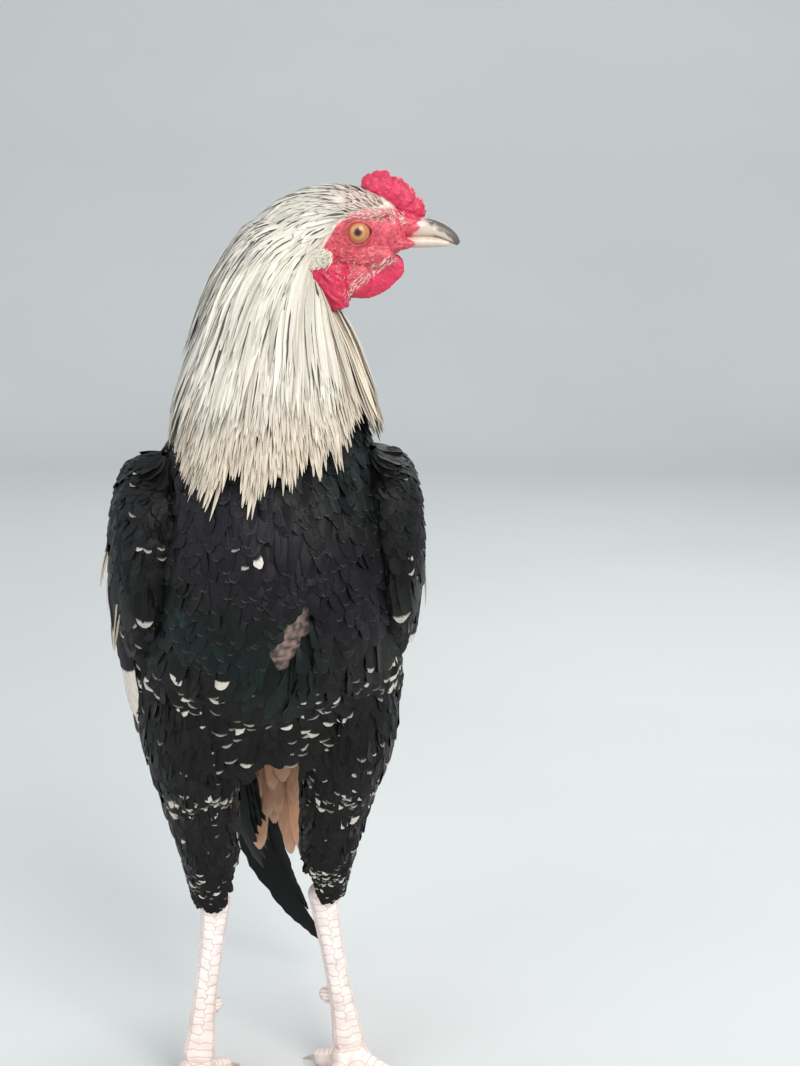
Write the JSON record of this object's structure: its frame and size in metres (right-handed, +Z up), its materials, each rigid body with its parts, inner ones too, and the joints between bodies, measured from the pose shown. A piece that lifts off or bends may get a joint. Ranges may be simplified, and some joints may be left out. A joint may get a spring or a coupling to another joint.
{
  "type": "aseel rooster",
  "caption": "Life-size standing game rooster, head turned to its left, with pale hackle, dark body, closed wings, hanging sickle tail and bare scaled shanks.",
  "frame": {"origin": "on the floor, under the middle of the bird's bounding box", "axes": "+Z up, the breast faces -Y, and +X is the bird's left, where its head is turned"},
  "size_m": [0.228, 0.2874, 0.6627],
  "materials": {
    "black_feather": "black feathers with a green and purple sheen and pale flecks",
    "pale_feather": "cream hackle feathers with black shaft streaks",
    "red_skin": "bare red skin of comb, face and wattles",
    "horn": "pale horn with a dark ridge",
    "pale_scale": "pinkish white scutes and scales",
    "eye": "wet, golden iris with a dark pupil",
    "ear_tuft": "short white bristle feathers over the ear"
  },
  "bodies": {
    "root": {"torso": "black_feather", "neck": "pale_feather", "head": "red_skin", "eye_left": "eye", "eye_right": "eye", "ear_left": "ear_tuft", "ear_right": "ear_tuft", "earlobe_left": "red_skin", "earlobe_right": "red_skin", "wattle_left": "red_skin", "wattle_right": "red_skin", "comb": "red_skin", "bill_upper": "horn", "bill_lower": "horn", "wing_left": "black_feather", "wing_right": "black_feather", "tail": "black_feather", "thigh_left": "black_feather", "thigh_right": "black_feather", "shank_left": "pale_scale", "shank_right": "pale_scale", "foot_left": "pale_scale", "foot_right": "pale_scale"}
  },
  "joints": []
}
